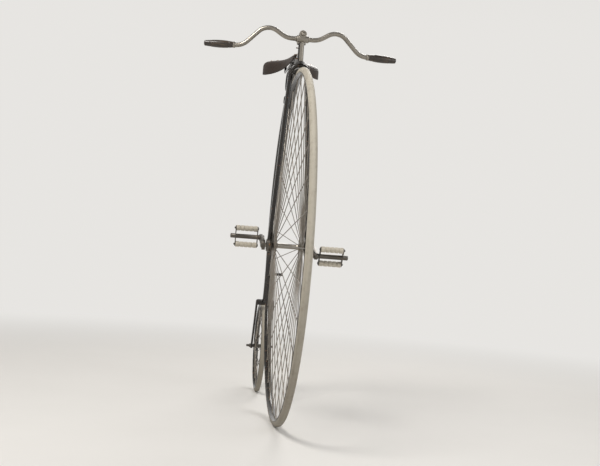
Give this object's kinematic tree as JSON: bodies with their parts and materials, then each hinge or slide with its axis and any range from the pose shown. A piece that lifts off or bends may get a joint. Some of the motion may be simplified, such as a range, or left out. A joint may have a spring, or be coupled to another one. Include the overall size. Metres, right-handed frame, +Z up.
{
  "type": "penny farthing bicycle",
  "caption": "High-wheel bicycle with direct-spoked wheels, solid tyres, open steering head, curved handlebar, slotted cranks, block pedals and a sprung leather saddle.",
  "frame": {"origin": "middle of the top of the saddle, where the rider sits", "axes": "+X forward, +Y to the rider's left, +Z up, wheels upright on level ground"},
  "size_m": [1.7268, 0.729, 1.4761],
  "materials": {
    "black_enamel": "gloss",
    "bright_steel": "satin",
    "dark_steel": "satin",
    "spoke_steel": "satin",
    "old_tyre": "matt",
    "pedal_rubber": "matt",
    "grip_horn": "satin",
    "saddle_leather": "satin"
  },
  "bodies": {
    "frame": {"backbone": "black_enamel", "neck": "black_enamel", "rear_fork": "black_enamel", "rear_axle": "dark_steel", "saddle_leather": "saddle_leather", "saddle_frame": "black_enamel", "saddle_clips": "black_enamel", "saddle_spring": "black_enamel", "spring_seat": "black_enamel", "spring_shackle": "black_enamel", "mounting_step": "black_enamel"},
    "steering": {"fork_crown": "black_enamel", "steering_head": "bright_steel", "head_bolt": "bright_steel", "fork_leg_left": "black_enamel", "fork_leg_right": "black_enamel", "bearing_housing_left": "dark_steel", "bearing_housing_right": "dark_steel", "handlebar": "bright_steel", "grip_left": "grip_horn", "grip_right": "grip_horn"},
    "front_wheel": {"front_tyre": "old_tyre", "front_rim": "black_enamel", "front_spokes_left": "spoke_steel", "front_spokes_right": "spoke_steel", "front_axle": "bright_steel", "crank_left": "dark_steel", "crank_right": "dark_steel", "pedal_pin_left": "dark_steel", "pedal_pin_right": "dark_steel"},
    "pedal_left": {"pedal_cage_left": "dark_steel", "pedal_rubbers_left": "pedal_rubber"},
    "pedal_right": {"pedal_cage_right": "dark_steel", "pedal_rubbers_right": "pedal_rubber"},
    "rear_wheel": {"rear_tyre": "old_tyre", "rear_rim": "black_enamel", "rear_hub": "dark_steel", "rear_spokes_left": "spoke_steel", "rear_spokes_right": "spoke_steel"}
  },
  "joints": [
    {"name": "steering_turn", "type": "hinge", "parent": "frame", "child": "steering", "pos_m": [0.265, 0, -0.74516], "axis": [-0.0698, 0, 0.9976], "range_deg": [-45, 45]},
    {"name": "front_wheel_spin", "type": "hinge", "parent": "steering", "child": "front_wheel", "pos_m": [0.265, 0, -0.74516], "axis": [0, 1, 0], "continuous": true},
    {"name": "pedal_left_spin", "type": "hinge", "parent": "front_wheel", "child": "pedal_left", "pos_m": [0.39752, 0.147, -0.77091], "axis": [0, 1, 0], "continuous": true},
    {"name": "pedal_right_spin", "type": "hinge", "parent": "front_wheel", "child": "pedal_right", "pos_m": [0.13248, -0.147, -0.7194], "axis": [0, 1, 0], "continuous": true},
    {"name": "rear_wheel_spin", "type": "hinge", "parent": "frame", "child": "rear_wheel", "pos_m": [-0.59883, 0, -1.20216], "axis": [0, 1, 0], "continuous": true}
  ]
}
